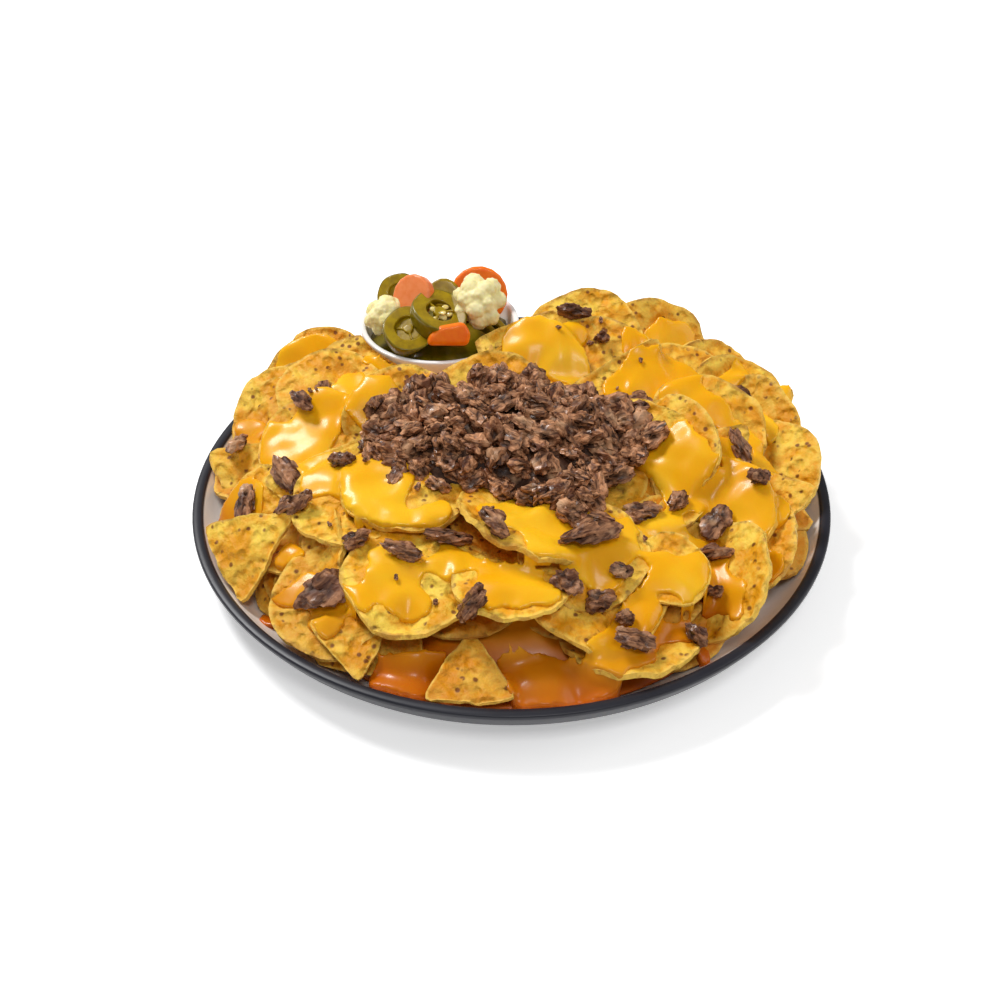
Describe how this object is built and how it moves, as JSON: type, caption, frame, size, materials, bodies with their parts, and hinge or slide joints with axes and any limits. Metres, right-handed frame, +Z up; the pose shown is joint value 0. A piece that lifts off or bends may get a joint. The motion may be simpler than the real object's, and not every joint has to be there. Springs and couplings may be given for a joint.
{
  "type": "plate of nachos",
  "caption": "Heap of tortilla chips with cheese sauce and chopped beef on a round dark-rimmed plate, with a small white bowl of pickled vegetables set into the back of the heap",
  "frame": {"origin": "on the table under the middle of the plate", "axes": "+Z up, -Y towards the front that the picture shows, +X to the right"},
  "size_m": [0.3, 0.3, 0.0835],
  "materials": {
    "glazed_plate": "dark glossy glaze outside and on the lip, cream glaze inside",
    "white_glaze": "glossy white glaze",
    "corn_chip": "fried corn chip with brown specks and blisters",
    "cheese_sauce": "smooth glossy yellow-orange sauce",
    "chopped_beef": "moist dark brown cooked beef",
    "pickle_mix": "wet pickled vegetables in brine",
    "jalapeno": "wet olive-green pickled pepper",
    "carrot": "wet orange pickled carrot",
    "cauliflower": "pale yellow-green pickled cauliflower"
  },
  "bodies": {
    "root": {"plate": "glazed_plate", "dip_bowl": "white_glaze", "nachos_heap": "corn_chip", "beef_pile": "chopped_beef", "cheese_pool_1": "cheese_sauce", "cheese_pool_2": "cheese_sauce", "pickle_fill": "pickle_mix", "jalapeno_ring_front": "jalapeno", "carrot_wedge": "carrot", "jalapeno_ring_middle": "jalapeno", "cauliflower_right": "cauliflower", "carrot_slice_left": "carrot", "cauliflower_left": "cauliflower", "jalapeno_strip_right": "jalapeno", "carrot_slice_right": "carrot", "jalapeno_slice_back": "jalapeno", "jalapeno_ring_back": "jalapeno", "jalapeno_strip_front": "jalapeno", "beef_01": "chopped_beef", "beef_02": "chopped_beef", "beef_03": "chopped_beef", "beef_04": "chopped_beef", "beef_05": "chopped_beef", "beef_06": "chopped_beef", "beef_07": "chopped_beef", "beef_08": "chopped_beef", "beef_09": "chopped_beef", "beef_10": "chopped_beef", "beef_11": "chopped_beef", "beef_12": "chopped_beef", "beef_13": "chopped_beef", "beef_14": "chopped_beef", "beef_15": "chopped_beef", "beef_16": "chopped_beef", "beef_17": "chopped_beef", "beef_18": "chopped_beef", "beef_19": "chopped_beef", "beef_20": "chopped_beef", "beef_21": "chopped_beef", "beef_22": "chopped_beef", "beef_23": "chopped_beef", "beef_24": "chopped_beef", "beef_25": "chopped_beef", "beef_26": "chopped_beef", "beef_27": "chopped_beef", "beef_28": "chopped_beef", "beef_29": "chopped_beef", "beef_30": "chopped_beef", "beef_31": "chopped_beef", "beef_32": "chopped_beef", "beef_33": "chopped_beef"}
  },
  "joints": []
}
